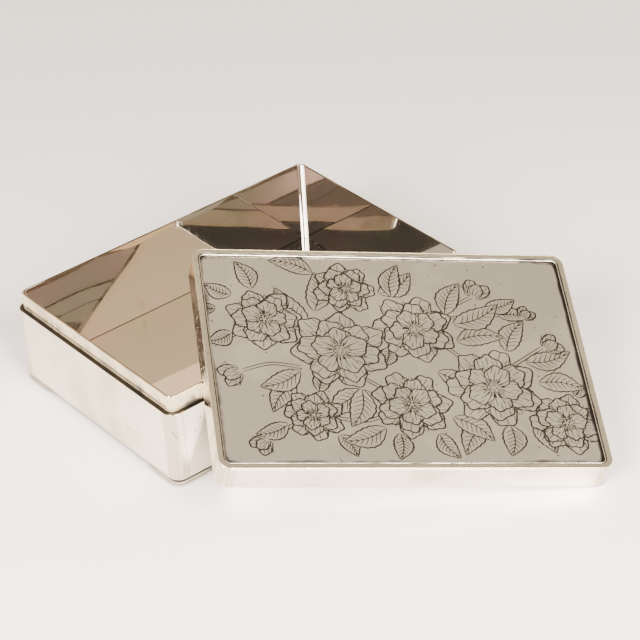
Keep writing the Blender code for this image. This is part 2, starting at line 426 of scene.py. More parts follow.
def foot(name, turned_x, turned_y):
    """One foot: rounded sections lofted along the stations, closed at both thin ends.

    The same points times (turned_x, turned_y), each 1 or -1, give all four feet. Two of the four are
    mirror images of the others, so their faces run the other way round to point outward too.
    """
    path, outward, distance = foot_stations()
    closing = np.array(FOOT_TIP_SHARES)
    shrink = np.concatenate([closing, np.ones(len(path) - 2 * len(closing)), closing[::-1]])
    rings = []
    for here, side, far, size in zip(path, outward, distance, shrink):
        low_edge = FOOT_HEIGHT - float(foot_depth(far))
        outline = sheet_section(low_edge, FOOT_HEIGHT, FOOT_THICK, FOOT_ROUNDS, FOOT_ROUND_STEPS)[0]
        middle = outline.mean(axis=0)
        outline = middle + (outline - middle) * size
        flat = here - outline[:, :1] * side
        rings.append(np.concatenate([flat, outline[:, 1:]], -1))
    points = np.stack(rings)
    points[..., 0] *= turned_x
    points[..., 1] *= turned_y
    stations, sides = points.shape[:2]
    faces = grid_faces(stations, sides)
    if turned_x * turned_y > 0:
        faces = faces[:, ::-1]
    points = placed(points.reshape(-1, 3), points.reshape(-1, 3), box_place)[0]
    return new_piece(name, points, faces)


feet = {}
for along_word, turned_y in (("near", -1), ("far", 1)):
    for across_word, turned_x in (("left", -1), ("right", 1)):
        word = along_word + "_" + across_word
        feet[word] = foot("bracket_" + word, turned_x, turned_y)
print("feet:", ", ".join(feet))

# %% [markdown]
# The lid's panel is engraved: a tool cuts a V-shaped furrow that swells and thins with the hand, and
# tarnish stays in it. Peonies and their leaves fill this panel. The drawing is made as strokes, each
# a line of points with a width at each point. Sizes in this drawing are in millimetres, from the
# panel's middle, x along the lid's length.
#
# A picture drawn with lines needs one rule more: what lies in front hides what lies behind. So every
# petal and leaf also has an outline that hides, and strokes are made from front to back.

# %% Strokes and what hides them
hand = np.random.default_rng(11)
STROKE_STEP = 0.3
LEAST_POINTS = 4
EDGE_MARGIN = 3.4
drawing = []
hiding = []


def through(points, step=STROKE_STEP):
    """A smooth curve through the points, as even steps along a Catmull-Rom spline.

    Between points p1 and p2 it is the cubic that leaves p1 along p2 - p0 and meets p2 along p3 - p1.
    """
    points = np.asarray(points, float)
    ends = np.concatenate([[2 * points[0] - points[1]], points, [2 * points[-1] - points[-2]]])
    p0, p1, p2, p3 = ends[:-3, None], ends[1:-2, None], ends[2:-1, None], ends[3:, None]
    t = np.linspace(0, 1, 17)[None, :-1, None]
    square = (2 * p0 - 5 * p1 + 4 * p2 - p3) * t**2
    cube = (3 * p1 - p0 - 3 * p2 + p3) * t**3
    curve = 0.5 * (2 * p1 + (p2 - p0) * t + square + cube)
    curve = np.concatenate([curve.reshape(-1, 2), points[-1:]])
    return evenly(curve, step)


def at_steps(curve, step, extra=1):
    """Points an even step apart along a line, then the running lengths of the line and of the points."""
    run = np.concatenate([[0], np.cumsum(np.linalg.norm(np.diff(curve, axis=0), axis=1))])
    marks = np.linspace(0, run[-1], max(LEAST_POINTS, int(run[-1] / step) + extra))
    return np.stack([np.interp(marks, run, values) for values in curve.T], -1), run, marks


def evenly(curve, step=STROKE_STEP):
    """The same line with its points an even step apart."""
    return at_steps(curve, step)[0]


def left_of(line):
    """The unit vector to the left of a line, at each of its points."""
    along = np.gradient(line, axis=0)
    return np.stack([-along[:, 1], along[:, 0]], -1) / np.linalg.norm(along, axis=1)[:, None]


def turned(points, angle, place):
    """Points turned about the origin by an angle and moved to a place."""
    c, s = math.cos(angle), math.sin(angle)
    return np.asarray(points) @ np.array([[c, s], [-s, c]]) + np.asarray(place)


def stroke(line, widest, thin=0.25, lean=0.5):
    """A line and its width at each point: thin at both ends, widest at a share of its length."""
    t = np.linspace(0, 1, len(line))
    bulge = np.where(t < lean, t / lean, (1 - t) / (1 - lean))
    return line, widest * (thin + (1 - thin) * np.sin(bulge * math.pi / 2) ** 0.7)


def inside(points, outline):
    """Which points lie in a closed outline: those whose level ray crosses it an odd number of times."""
    low, high = outline.min(axis=0), outline.max(axis=0)
    near = ((points >= low) & (points <= high)).all(axis=1)
    found = np.zeros(len(points), bool)
    if not near.any():
        return found
    x, y = points[near, 0][:, None], points[near, 1][:, None]
    a, b = outline, np.roll(outline, -1, axis=0)
    spans = (a[:, 1] > y) != (b[:, 1] > y)
    slope = (b[:, 0] - a[:, 0]) / np.where(b[:, 1] == a[:, 1], 1e-9, b[:, 1] - a[:, 1])
    found[near] = (spans & (x < a[:, 0] + slope * (y - a[:, 1]))).sum(axis=1) % 2 == 1
    return found


def draw(strokes, outline=None):
    """Keeps the runs of each stroke that nothing in front hides, then adds this piece's outline."""
    half = np.array([BODY_LENGTH, BODY_WIDTH]) / MM / 2 - EDGE_MARGIN
    for points, width in strokes:
        seen = (np.abs(points) < half).all(axis=1)
        for front in hiding:
            seen &= ~inside(points, front)
        ends = np.flatnonzero(np.diff(np.concatenate([[False], seen, [False]]).astype(int)))
        for first, last in zip(ends[::2], ends[1::2]):
            if last - first >= LEAST_POINTS:
                drawing.append((points[first:last], width[first:last]))
    if outline is not None:
        hiding.append(outline)


# %% [markdown]
# A peony's petal is broad, with a frilled edge and fine veins that fan out from its base. The petals lie
# in three whorls round a heart of stamens.

# %% Petals
PETAL_OPENING = 0.93 * math.pi
PETAL_VEINS = 9


def petal(centre, angle, length, breadth, frill):
    """A petal as a lobe, and its veins.

    Its edge runs round an ellipse from base to base. The frill adds a few waves, largest at the tip.
    """
    around = np.linspace(-PETAL_OPENING, PETAL_OPENING, 90)
    ripple = np.sin(around * hand.uniform(4.5, 6.5) + hand.uniform(0, 6.3))
    waves = 1 + frill * np.cos(around / 2) ** 2 * ripple
    edge = np.stack([0.54 + 0.46 * np.cos(around) * waves, 0.5 * np.sin(around) * waves], -1)
    edge *= (length, breadth)
    outline = turned(edge, angle, centre)
    widest, lean = hand.uniform(0.85, 1.05), hand.uniform(0.35, 0.65)
    strokes = [stroke(evenly(outline), widest, 0.4, lean)]
    for number in range(PETAL_VEINS):
        spread = (number + 0.5) / PETAL_VEINS - 0.5 + hand.uniform(-0.02, 0.02)
        tip = 0.96 - 1.1 * spread**2
        if number % 2:
            first, last, lean = 0.16, tip * hand.uniform(0.80, 0.93), 0.25
        else:
            first, last, lean = tip * hand.uniform(0.58, 0.72), tip, 0.85
        t = np.linspace(first, last, 8)
        vein = np.stack([t * length, spread * breadth * 1.5 * np.sin(t * math.pi * 0.62) ** 1.1], -1)
        vein = evenly(turned(vein, angle, centre))
        strokes.append(stroke(vein, hand.uniform(0.44, 0.60), lean=lean))
    return strokes, outline


# %% [markdown]
# A whorl is a ring of petals. Each row of the table below is one whorl, from the heart outward: how many
# petals, their length and breadth as shares of the flower's radius, and how deep their frill is.

# %% Peonies
WHORLS = ((5, 0.58, 0.52, 0.10), (6, 0.82, 0.60, 0.09), (7, 1.0, 0.62, 0.07))
HEART_SHARE = 0.13
HEART_WIDTH = 0.6
SEEDS = 5
SEED_TURN = 1.257
SEED_WIDTH = 0.42
STAMENS = 22
STAMEN_WIDTH = 0.62


def peony(x, y, radius, turn):
    """A full flower: the heart first, then three whorls of petals, each behind the one before."""
    centre = np.array([x, y])
    angle = np.linspace(0, 2 * math.pi, 19)
    heart = radius * HEART_SHARE
    knot = rays(angle) * heart * (1 + 0.12 * np.cos(angle * 6))[:, None]
    seeds = [stroke(evenly(knot + centre), HEART_WIDTH, 0.7)]
    for number in range(SEEDS):
        way = turn + number * SEED_TURN
        spot = centre + heart * 0.55 * np.array([math.cos(way), math.sin(way)])
        curl = evenly(spot + 0.24 * heart * rays(angle[::2]), 0.25)
        seeds.append((curl, np.full(len(curl), SEED_WIDTH)))
    draw(seeds, knot + centre)
    stamens = []
    for way in np.linspace(0, 2 * math.pi, STAMENS, endpoint=False) + turn:
        reach = radius * hand.uniform(0.23, 0.31)
        ray = np.array([math.cos(way), math.sin(way)])
        side = np.array([-ray[1], ray[0]]) * radius * hand.uniform(-0.02, 0.02)
        line = through([centre + ray * heart, centre + ray * reach * 0.7 + side, centre + ray * reach])
        stamens.append(stroke(line, STAMEN_WIDTH, 0.4, 0.8))
    draw(stamens)
    for level, (count, length_share, breadth_share, frill) in enumerate(WHORLS):
        for number in sorted(range(count), key=lambda number: (number * 3) % count):
            way = turn + level * 0.55 + 2 * math.pi * number / count + hand.uniform(-0.06, 0.06)
            length = radius * length_share * hand.uniform(0.94, 1.04)
            breadth = radius * breadth_share * hand.uniform(0.95, 1.08)
            draw(*petal(centre, way, length, breadth, frill))


# %% [markdown]
# A leaf is two curved sides round a bent midrib, with side veins that leave it at a slant.

# %% Leaves, stems and buds
LEAF_POINTS = 50
SIDE_WIDTH = 1.0
RIB_WIDTH = 0.8
VEIN_WIDTH = 0.56
STEM_LINE_WIDTH = 0.75
VEIN_STARTS = np.arange(0.14, 0.84, 0.11)


def leaf(x, y, way, length, breadth, corner_bands):
    """A pointed leaf: half breadth follows a skewed sine along the midrib, toothed a little."""
    angle = math.radians(way)
    t = np.linspace(0, 1, LEAF_POINTS)
    rib = np.stack([t * length, corner_bands * length * np.sin(t * math.pi)], -1)
    half = breadth / 2 * np.sin(math.pi * t**0.8) * (1 + 0.05 * np.sin(t * 44))
    aside = np.stack([np.zeros(LEAF_POINTS), half], -1)
    upper = turned(rib + aside, angle, (x, y))
    lower = turned(rib - aside, angle, (x, y))
    strokes = [stroke(evenly(side), SIDE_WIDTH, 0.4) for side in (upper, lower)]
    strokes.append(stroke(evenly(turned(rib, angle, (x, y))), RIB_WIDTH, 0.3, 0.2))
    for start in VEIN_STARTS:
        for side in (-1, 1):
            t = start + np.linspace(0, 0.16, 6)
            room = 0.82 * np.linspace(0, 1, 6) * breadth / 2 * np.sin(math.pi * np.minimum(t, 1) ** 0.8)
            vein = np.stack([t * length, corner_bands * length * np.sin(t * math.pi) + side * room], -1)
            strokes.append(stroke(evenly(turned(vein, angle, (x, y))), VEIN_WIDTH, lean=0.2))
    draw(strokes, np.concatenate([upper, lower[::-1]]))


def stem(points, width):
    """Two lines side by side along a smooth curve."""
    line = through(points)
    side = left_of(line)
    strokes = [stroke(line + side * width * way, STEM_LINE_WIDTH, 0.6) for way in (-0.5, 0.5)]
    draw(strokes, np.concatenate([line + side * width / 2, (line - side * width / 2)[::-1]]))


def bud(x, y, way, size):
    """A closed flower: one short petal in front of two longer ones that lean to either side."""
    angle = math.radians(way)
    place = np.array([x, y])
    for turn, share in ((0.0, 0.8), (-0.42, 1.0), (0.42, 1.0)):
        draw(*petal(place, angle + turn, size * share, size * 0.62, 0.05))


# %% [markdown]
# The composition: eight peonies and five buds, of different sizes and turned all ways, spread over the
# whole panel, with leaves and stems between them. Flowers come first, because they lie in front.
#
# A peony is a place, a radius and a turn; a bud is a place, a direction in degrees and a size; a leaf
# is a place, a direction, a length, a breadth and a bend. A stem is a line of places.

# %% The whole drawing
STEM_WIDTH = 1.5
PEONIES = (
    (-27, 4, 23, 0.3), (42, -17, 22.5, 1.1), (10, 17, 20, 2.0), (2, -27, 18.5, 0.8),
    (-60, 22, 18, 2.6), (-20, 41, 15, 1.5), (73, -37, 17, 0.2), (-44, -33, 14, 1.9),
)
BUDS = (
    (-74, -8, 205, 11), (41, 36, 62, 11.5), (70, 6, 28, 10.5), (-66, -46, 225, 9.5), (63, 24, 48, 8),
)
LEAVES = (
    (-47, -8, 205, 22, 11, 0.1), (-50, -16, 232, 20, 10, -0.12), (-40, 20, 122, 25, 12, 0.1),
    (-36, 27, 84, 24, 12, -0.1), (-74, 36, 150, 14, 9, 0.1), (-64, 40, 112, 18, 10, -0.1),
    (-76, 14, 205, 13, 9, 0.1), (-20, -18, 250, 23, 12, 0.12), (-16, -20, 214, 26, 12, -0.1),
    (-12, -40, 200, 22, 11, 0.1), (-6, -43, 262, 15, 9, 0.1), (12, -43, 300, 16, 9, -0.1),
    (20, -34, 322, 22, 11, 0.1), (17, -8, 344, 20, 10, -0.1), (26, 26, 62, 22, 11, 0.1),
    (29, 20, 28, 27, 12, -0.1), (29, 10, 6, 24, 11, 0.1), (2, 36, 74, 21, 10, 0.12),
    (-4, 38, 38, 22, 11, -0.12), (52, 4, 58, 22, 11, 0.1), (60, -2, 16, 24, 11, -0.1),
    (64, -14, 350, 22, 11, 0.1), (46, -38, 262, 18, 11, 0.1), (36, -38, 232, 22, 11, -0.12),
    (57, -38, 296, 18, 10, 0.1), (-34, 50, 160, 22, 10, -0.1), (-56, -38, 200, 17, 9, 0.1),
    (-34, -44, 300, 14, 8, 0.1), (-40, -20, 60, 14, 8, 0.1), (-4, 6, 250, 12, 8, 0.1),
    (46, 30, 20, 17, 9, -0.1), (52, 26, 352, 15, 8, 0.1), (-82, 28, 170, 9, 6, 0.1),
    (80, -22, 40, 10, 7, 0.1),
)
STEMS = (
    [(-86, 6), (-76, 12), (-62, 20), (-44, 16), (-28, 6)],
    [(-30, 4), (-14, -4), (2, 4), (12, 12), (26, 4), (40, -14)],
    [(-28, 5), (-20, -10), (2, -26)],
    [(40, -16), (54, -26), (72, -36)],
    [(-26, 10), (-24, 26), (-20, 38)],
    [(12, 16), (26, 28), (41, 37)],
    [(28, 24), (46, 26), (63, 25)],
    [(42, -14), (54, -4), (70, 7)],
    [(0, -26), (-20, -36), (-44, -34), (-66, -46)],
    [(-46, -6), (-60, -4), (-74, -8)],
)
for row in PEONIES:
    peony(*row)
for row in BUDS:
    bud(*row)
for row in LEAVES:
    leaf(*row)
for points in STEMS:
    stem(points, STEM_WIDTH)
print(len(drawing), "strokes,", sum(len(points) for points, width in drawing), "points")

# %% [markdown]
# The panel's top is one sheet of triangles that has the edges and the bed of every furrow among its own
# edges: a constrained Delaunay triangulation lays them out flat, also where furrows cross, and then each
# point sinks by the depth of the deepest furrow over it. Faces outside the furrows stay dead flat.

# %% Furrows
FURROW_STEP = 0.75
FURROW_SLOPE = 0.22
FURROW_END_DEPTH = 1e-3
WIDEST_REACH = 0.3
DEPTH_BLOCKS = 400
SAME_POINT = 1e-5
FULL_INK_DEPTH = 0.1 * FURROW_SLOPE


def furrow_lines(points, width):
    """One furrow's bed and its two edges, pointed at both ends."""
    bed, run, marks = at_steps(points, FURROW_STEP, 2)
    half = np.interp(marks, run, width) / 2
    reach = (left_of(bed) * half[:, None])[1:-1]
    return bed, half, bed[1:-1] + reach, bed[1:-1] - reach


def lay_out(rim):
    """Points and edges for the triangulation: the rim's loop, then each furrow's three lines."""
    start = len(rim)
    loop = np.arange(start)
    points, edges, beds = [rim], [np.stack([loop, np.roll(loop, -1)], -1)], []
    for line, width in drawing:
        bed, half, left, right = furrow_lines(line, width)
        count = len(bed)
        inner = np.arange(count - 2)
        points += [bed, left, right]
        middle = start + np.arange(count)
        edges.append(np.stack([middle[:-1], middle[1:]], -1))
        for offset in (start + count, start + 2 * count - 2):
            chain = np.concatenate([[start], offset + inner, [start + count - 1]])
            edges.append(np.stack([chain[:-1], chain[1:]], -1))
        start += 3 * count - 4
        depth = half.copy()
        depth[[0, -1]] = FURROW_END_DEPTH
        beds.append(np.concatenate([bed, depth[:, None]], -1))
    return np.concatenate(points), np.concatenate(edges), beds


def depth_at(points, beds):
    """Depth of the deepest furrow over each point: slope times (half width - distance to its bed).

    Each bed is sampled at its points and at three places between them. Points and samples are sorted
    by x and compared in blocks, so that no point is held against samples that are far from it.
    """
    samples = []
    for bed in beds:
        a, b = bed[:-1], bed[1:]
        samples += [bed, (a + b) / 2, a * 0.75 + b * 0.25, a * 0.25 + b * 0.75]
    samples = np.concatenate(samples).astype(np.float32)
    samples = samples[np.argsort(samples[:, 0])]
    points = points.astype(np.float32)
    deepest = np.zeros(len(points), np.float32)
    for block in np.array_split(np.argsort(points[:, 0]), DEPTH_BLOCKS):
        x, y = points[block, 0], points[block, 1]
        first, last = np.searchsorted(samples[:, 0], [x.min() - WIDEST_REACH, x.max() + WIDEST_REACH])
        near = samples[first:last]
        if len(near):
            gap = np.hypot(x[:, None] - near[None, :, 0], y[:, None] - near[None, :, 1])
            deepest[block] = np.maximum((near[None, :, 2] - gap).max(axis=1), 0)
    return deepest * FURROW_SLOPE


def engraved_panel():
    """The panel as one closed solid: furrowed top, rounded rim and flat underside.

    It starts as a plain plate. The triangulated sheet takes the place of its top, from the uppermost
    ring of the rim inward, and the plate's other faces are renumbered to meet it.
    """
    bottom = LID_HEIGHT - PANEL_RECESS - PANEL_THICK
    plain = plate("plain_panel", PANEL_INSET, bottom, PANEL_THICK, Matrix.Identity(4))
    body = np.array([vertex.co for vertex in plain.data.vertices])
    around = len(plan_path(PANEL_INSET)[0])
    rim = body[:around, :2] / MM
    flat, edges, beds = lay_out(rim)
    laid = geometry.delaunay_2d_cdt([Vector(p) for p in flat], edges.tolist(), [], 0, SAME_POINT, True)
    top = np.array([tuple(p) for p in laid[0]])
    depth = depth_at(top, beds)
    own = {source: place for place, sources in enumerate(laid[3]) for source in sources if source < around}
    depth[list(own.values())] = 0
    sunk = np.concatenate([top * MM, (body[0, 2] - depth * MM)[:, None]], -1)
    faces = [list(face) for face in laid[2]]
    skirting = [
        [own[c] if c < around else len(top) + c - around for c in face.vertices]
        for face in plain.data.polygons
        if len(body) - 2 not in face.vertices
    ]
    points = np.concatenate([sunk, body[around:]])
    bpy.data.objects.remove(plain)
    piece = new_piece("panel", placed(points, points, lid_place)[0], faces + skirting)
    piece.data.shade_flat()
    mask = piece.data.attributes.new("furrow", "FLOAT", "POINT")
    share = np.zeros(len(points), np.float32)
    share[: len(top)] = np.clip(depth / FULL_INK_DEPTH, 0, 1)
    mask.data.foreach_set("value", share)
    return piece


panel = engraved_panel()
print("panel:", len(panel.data.polygons), "faces")

# %% [markdown]
# Old silver is not one even colour. Hands leave smudges, cleaning leaves hairlines and pits, and
# tarnish creeps in along every edge that a cloth can't reach. A photograph laid over the box could show
# that from one side only. Shader nodes work it out for every point from its place on the box, so it
# holds from all sides. A few small helpers keep the building of those nodes short.

# %% Helpers for shader trees


def add_node(tree, kind, inputs=None, **settings):
    """A shader node with its settings. An input is a plain value, or a socket to link from."""
    node = tree.nodes.new("ShaderNode" + kind)
    for name, value in settings.items():
        setattr(node, name, value)
    for key, value in (inputs or {}).items():
        if isinstance(value, bpy.types.NodeSocket):
            tree.links.new(value, node.inputs[key])
        else:
            node.inputs[key].default_value = value
    return node


def maths(tree, operation, *values):
    """The output of a Math node."""
    return add_node(tree, "Math", dict(enumerate(values)), operation=operation).outputs[0]


def product(tree, total, *others):
    """All the values multiplied together."""
    for value in others:
        total = maths(tree, "MULTIPLY", total, value)
    return total


def vector_maths(tree, operation, *values, output=0):
    """An output of a Vector Math node: its vector, or its number if "Value" is asked for."""
    return add_node(tree, "VectorMath", dict(enumerate(values)), operation=operation).outputs[output]


def parts(tree, vector):
    """The x, y and z of a vector."""
    return add_node(tree, "SeparateXYZ", {0: vector}).outputs


def smooth_ramp(tree, value, start, end):
    """0 below start and 1 above end, with a smooth step between (start may be the larger one)."""
    sockets = {"Value": value, "From Min": start, "From Max": end}
    return add_node(tree, "MapRange", sockets, interpolation_type="SMOOTHSTEP").outputs["Result"]


def edge_ramp(tree, value, edge, start, end):
    """A smooth ramp whose start and end lie so many millimetres from an edge."""
    return smooth_ramp(tree, value, edge + start * MM, edge + end * MM)


def noise(tree, place, scale, detail=2.0, vector_scale=None):
    """A noise texture's value, stretched along an axis if a scale is given for each axis."""
    if vector_scale:
        place = add_node(tree, "Mapping", {"Vector": place, "Scale": vector_scale}).outputs[0]
    return add_node(tree, "TexNoise", {"Vector": place, "Scale": scale, "Detail": detail}).outputs[0]


def patches(tree, place, scale, detail, start, end, vector_scale=None):
    """Soft patches: a smooth ramp of a noise."""
    return smooth_ramp(tree, noise(tree, place, scale, detail, vector_scale), start, end)


def mixed(tree, share, first, second):
    """A colour between two: the first at a share of 0, the second at 1."""
    return add_node(tree, "Mix", {0: share, 6: first, 7: second}, data_type="RGBA").outputs[2]


def new_group(name, inputs, outputs):
    """A node group with named sockets: {name: default value} going in, {name: kind} coming out."""
    kinds = {float: "NodeSocketFloat", tuple: "NodeSocketColor"}
    tree = bpy.data.node_groups.new(name, "ShaderNodeTree")
    for label, value in inputs.items():
        kind = "NodeSocketVector" if value is None else kinds[type(value)]
        socket = tree.interface.new_socket(label, in_out="INPUT", socket_type=kind)
        if value is not None:
            socket.default_value = value
    for label, kind in outputs.items():
        tree.interface.new_socket(label, in_out="OUTPUT", socket_type="NodeSocket" + kind)
    return tree, tree.nodes.new("NodeGroupInput").outputs, tree.nodes.new("NodeGroupOutput").inputs


def group_node(tree, group, inputs):
    """The outputs of a node that holds a shader group."""
    return add_node(tree, "Group", inputs, node_tree=group).outputs


# %% [markdown]
# How far a point lies inside the body's plan decides much: the wall's outer edge is polished by
# hands, the ledge under the lid is not. The distance to a rectangle with round corners is exact:
# with q = |p| - (half size - radius), it is radius - |max(q, 0)| - min(max(q), 0).

# %% Group: distance inside the plan


def plan_distance_group():
    """Inset: how far a point lies inside the round-cornered plan, by the formula above."""
    start = {
        "Vector": None, "Half Length": BODY_LENGTH / 2, "Half Width": BODY_WIDTH / 2, "Corner": CORNER_RADIUS,
    }
    tree, given, result = new_group("plan distance", start, {"Inset": "Float"})
    beyond = []
    for axis, half in zip(parts(tree, given["Vector"])[:2], (given["Half Length"], given["Half Width"])):
        flat = maths(tree, "SUBTRACT", half, given["Corner"])
        beyond.append(maths(tree, "SUBTRACT", maths(tree, "ABSOLUTE", axis), flat))
    x, y = (maths(tree, "MAXIMUM", value, 0.0) for value in beyond)
    square = maths(tree, "ADD", product(tree, x, x), product(tree, y, y))
    straight_part = maths(tree, "MINIMUM", maths(tree, "MAXIMUM", *beyond), 0.0)
    outside = maths(tree, "ADD", maths(tree, "SQRT", square), straight_part)
    tree.links.new(maths(tree, "SUBTRACT", given["Corner"], outside), result["Inset"])
    return tree


plan_distance = plan_distance_group()

# %% [markdown]
# Wear changes the shine and not the colour. Broad smudges raise the roughness. Hairlines, pits and a
# faint waviness of the hammered sheet tilt the normal. A hairline is a noise stretched far along one
# axis, and there is one such noise for each axis.

# %% Group: wear
HAIR_STRETCHES = ((1.0, 30.0, 30.0), (26.0, 1.2, 26.0), (22.0, 30.0, 1.5))
HAIR_SCALE = 110.0
PIT_SCALE = 190.0
WAVE_SCALE = 16.0
MARK_HEIGHT = -0.03 * MM
WAVE_HEIGHT = 0.4 * MM


def wear_group():
    """Roughness: clean + (smudged - clean) * (0.7 smudges + 0.3 grain). Normal: marks, then waves."""
    start = {"Vector": None, "Clean": 0.04, "Smudged": 0.14, "Waves": 0.5, "Marks": 0.3}
    tree, given, result = new_group("wear", start, {"Roughness": "Float", "Normal": "Vector"})
    place = given["Vector"]
    broad = patches(tree, place, 38.0, 3.0, 0.46, 0.68)
    grain = patches(tree, place, 420.0, 4.0, 0.35, 0.75)
    share = maths(tree, "ADD", product(tree, broad, 0.7), product(tree, grain, 0.3))
    span = maths(tree, "SUBTRACT", given["Smudged"], given["Clean"])
    tree.links.new(maths(tree, "MULTIPLY_ADD", share, span, given["Clean"]), result["Roughness"])
    hairs = [patches(tree, place, HAIR_SCALE, 2.0, 0.66, 0.74, stretch) for stretch in HAIR_STRETCHES]
    pits = add_node(tree, "TexVoronoi", {"Vector": place, "Scale": PIT_SCALE, "Randomness": 1.0})
    dots = smooth_ramp(tree, pits.outputs["Distance"], 0.10, 0.04)
    marks = maths(tree, "ADD", maths(tree, "ADD", *hairs[:2]), maths(tree, "ADD", hairs[2], dots))
    fine = {"Strength": given["Marks"], "Distance": MARK_HEIGHT, "Height": marks}
    marked = add_node(tree, "Bump", fine).outputs[0]
    wavy = {"Strength": given["Waves"], "Distance": WAVE_HEIGHT, "Normal": marked}
    wavy["Height"] = noise(tree, place, WAVE_SCALE, 1.0)
    tree.links.new(add_node(tree, "Bump", wavy).outputs[0], result["Normal"])
    return tree


wear = wear_group()

# %% [markdown]
# Tarnish goes from clean silver through straw and grey-brown to nearly black. A mask says where it may
# grow, and noise breaks the mask into cloudy patches. Specks are the dark middles of a few cells of a
# Voronoi pattern: those cells whose random colour is high enough.

# %% Group: tarnish
TARNISH_SHADES = (
    (0.0, (0.80, 0.74, 0.66, 1)), (0.3, (0.58, 0.535, 0.48, 1)),
    (0.65, (0.24, 0.222, 0.20, 1)), (1.0, (0.05, 0.046, 0.042, 1)),
)
MASK_WEIGHT = 0.62
SPECK_SCALE = 260.0


def tarnish_group():
    """Amount: a smooth step of noise + weighted mask + spread, plus specks. Color: by that amount."""
    start = {"Vector": None, "Mask": 0.0, "Spread": 0.5, "Scale": 120.0, "Specks": 0.6}
    start["Clean"] = (1.0, 1.0, 1.0, 1.0)
    tree, given, result = new_group("tarnish", start, {"Color": "Color", "Amount": "Float"})
    clouds = noise(tree, given["Vector"], given["Scale"], 5.0)
    level = maths(tree, "MULTIPLY_ADD", given["Mask"], MASK_WEIGHT, clouds)
    level = maths(tree, "ADD", level, given["Spread"])
    sockets = {"Vector": given["Vector"], "Scale": SPECK_SCALE, "Randomness": 1.0}
    cells = add_node(tree, "TexVoronoi", sockets).outputs
    random_red = add_node(tree, "SeparateColor", {0: cells["Color"]}).outputs["Red"]
    chosen = smooth_ramp(tree, random_red, 0.62, 0.86)
    dots = product(tree, smooth_ramp(tree, cells["Distance"], 0.2, 0.1), chosen)
    amount = maths(tree, "MULTIPLY_ADD", dots, given["Specks"], smooth_ramp(tree, level, 0.98, 1.62))
    shades = add_node(tree, "ValToRGB", {"Fac": amount})
    ramp = shades.color_ramp
    ramp.elements[0].color = TARNISH_SHADES[0][1]
    ramp.elements[1].color = TARNISH_SHADES[-1][1]
    for position, colour in TARNISH_SHADES[1:-1]:
        ramp.elements.new(position).color = colour
    tinted = mixed(tree, smooth_ramp(tree, amount, 0.0, 0.3), given["Clean"], shades.outputs["Color"])
    tree.links.new(tinted, result["Color"])
    tree.links.new(amount, result["Amount"])
    return tree


tarnish = tarnish_group()
print("shader groups:", plan_distance.name, wear.name, tarnish.name)

# %% [markdown]
# Each metal starts the same way: a Principled shader, fully metallic, whose coordinates are turned into
# the plan's own, so that one distance works for the standing box and the leaning lid alike.
#
# Open silver boxes mirror themselves again and again, and a renderer stops after a few mirrorings and
# leaves black. Real silver fades to a dim brown there, so each metal glows that brown once a ray has
# been mirrored five times. The Light Path node counts the mirrorings.

# %% A metal and its coordinates
METAL_GLOW = (0.31, 0.262, 0.222, 1.0)
METAL_DEPTH = 5
TARNISH_SPREAD = 0.24
STAIN_ROUGHNESS = 0.3


def glow_when_deep(material, glow, count):
    """A glow that only a ray with so many mirrorings behind it can see. Gives the mask of such rays."""
    tree = material.node_tree
    shader = tree.nodes["Principled BSDF"]
    depth = add_node(tree, "LightPath").outputs["Ray Depth"]
    deep = maths(tree, "GREATER_THAN", depth, count - 0.5)
    tree.links.new(deep, shader.inputs["Emission Strength"])
    shader.inputs["Emission Color"].default_value = glow
    material.cycles.emission_sampling = "NONE"
    return deep


def new_metal(name, place):
    """A metal's tree and shader, its coordinates in the plan's own axes, and its inset and height."""
    material = bpy.data.materials.new(name)
    material.use_nodes = True
    tree = material.node_tree
    shader = tree.nodes["Principled BSDF"]
    shader.inputs["Metallic"].default_value = 1.0
    glow_when_deep(material, METAL_GLOW, METAL_DEPTH)
    sockets = {"Vector": add_node(tree, "TexCoord").outputs["Object"]}
    sockets.update({"Location": place.translation, "Rotation": place.to_euler()})
    point = add_node(tree, "Mapping", sockets, vector_type="TEXTURE").outputs[0]
    inset = group_node(tree, plan_distance, {"Vector": point})["Inset"]
    return material, tree, shader, point, inset, parts(tree, point)["Z"]


def tarnished(tree, point, mask, scale, specks, clean, spread=TARNISH_SPREAD):
    """The tarnish group over a clean colour. Gives its outputs, Color and Amount."""
    sockets = {"Vector": point, "Mask": mask, "Spread": spread, "Scale": scale}
    sockets.update({"Specks": specks, "Clean": clean})
    return group_node(tree, tarnish, sockets)


def apply_wear(tree, shader, point, clean, smudged, waves, marks, stain):
    """Roughness and normal from the wear group; stained places are rougher still. Gives the normal."""
    sockets = {"Vector": point, "Clean": clean, "Smudged": smudged, "Waves": waves, "Marks": marks}
    worn = group_node(tree, wear, sockets)
    rough = maths(tree, "MULTIPLY_ADD", stain, STAIN_ROUGHNESS, worn["Roughness"])
    tree.links.new(rough, shader.inputs["Roughness"])
    tree.links.new(worn["Normal"], shader.inputs["Normal"])
    return worn["Normal"]


# %% [markdown]
# The body and the skirt are polished. The ledge at the top of the body, where the lid's skirt comes to rest,
# has gone dark behind a bright edge, and so has the join above the feet. Faint upright bands, strongest round
# the corners, are partly rubbing and partly a painted reflection of the floor. Two short scratches on the
# outer wall are placed one by one, each from its start to its end, because they are the ones that the eye
# finds first.

# %% Polished silver
SILVER = (0.82, 0.715, 0.585, 1.0)
DULL_SILVER = (0.60, 0.51, 0.40, 1.0)
SCRATCHES = (
    ((-0.0886, -0.0610, 0.0315), (-0.0865, -0.0626, 0.0269)),
    ((-0.0900, -0.0250, 0.0169), (-0.0900, -0.0286, 0.0155)),
)
SCRATCH_DARKNESS = 1.6


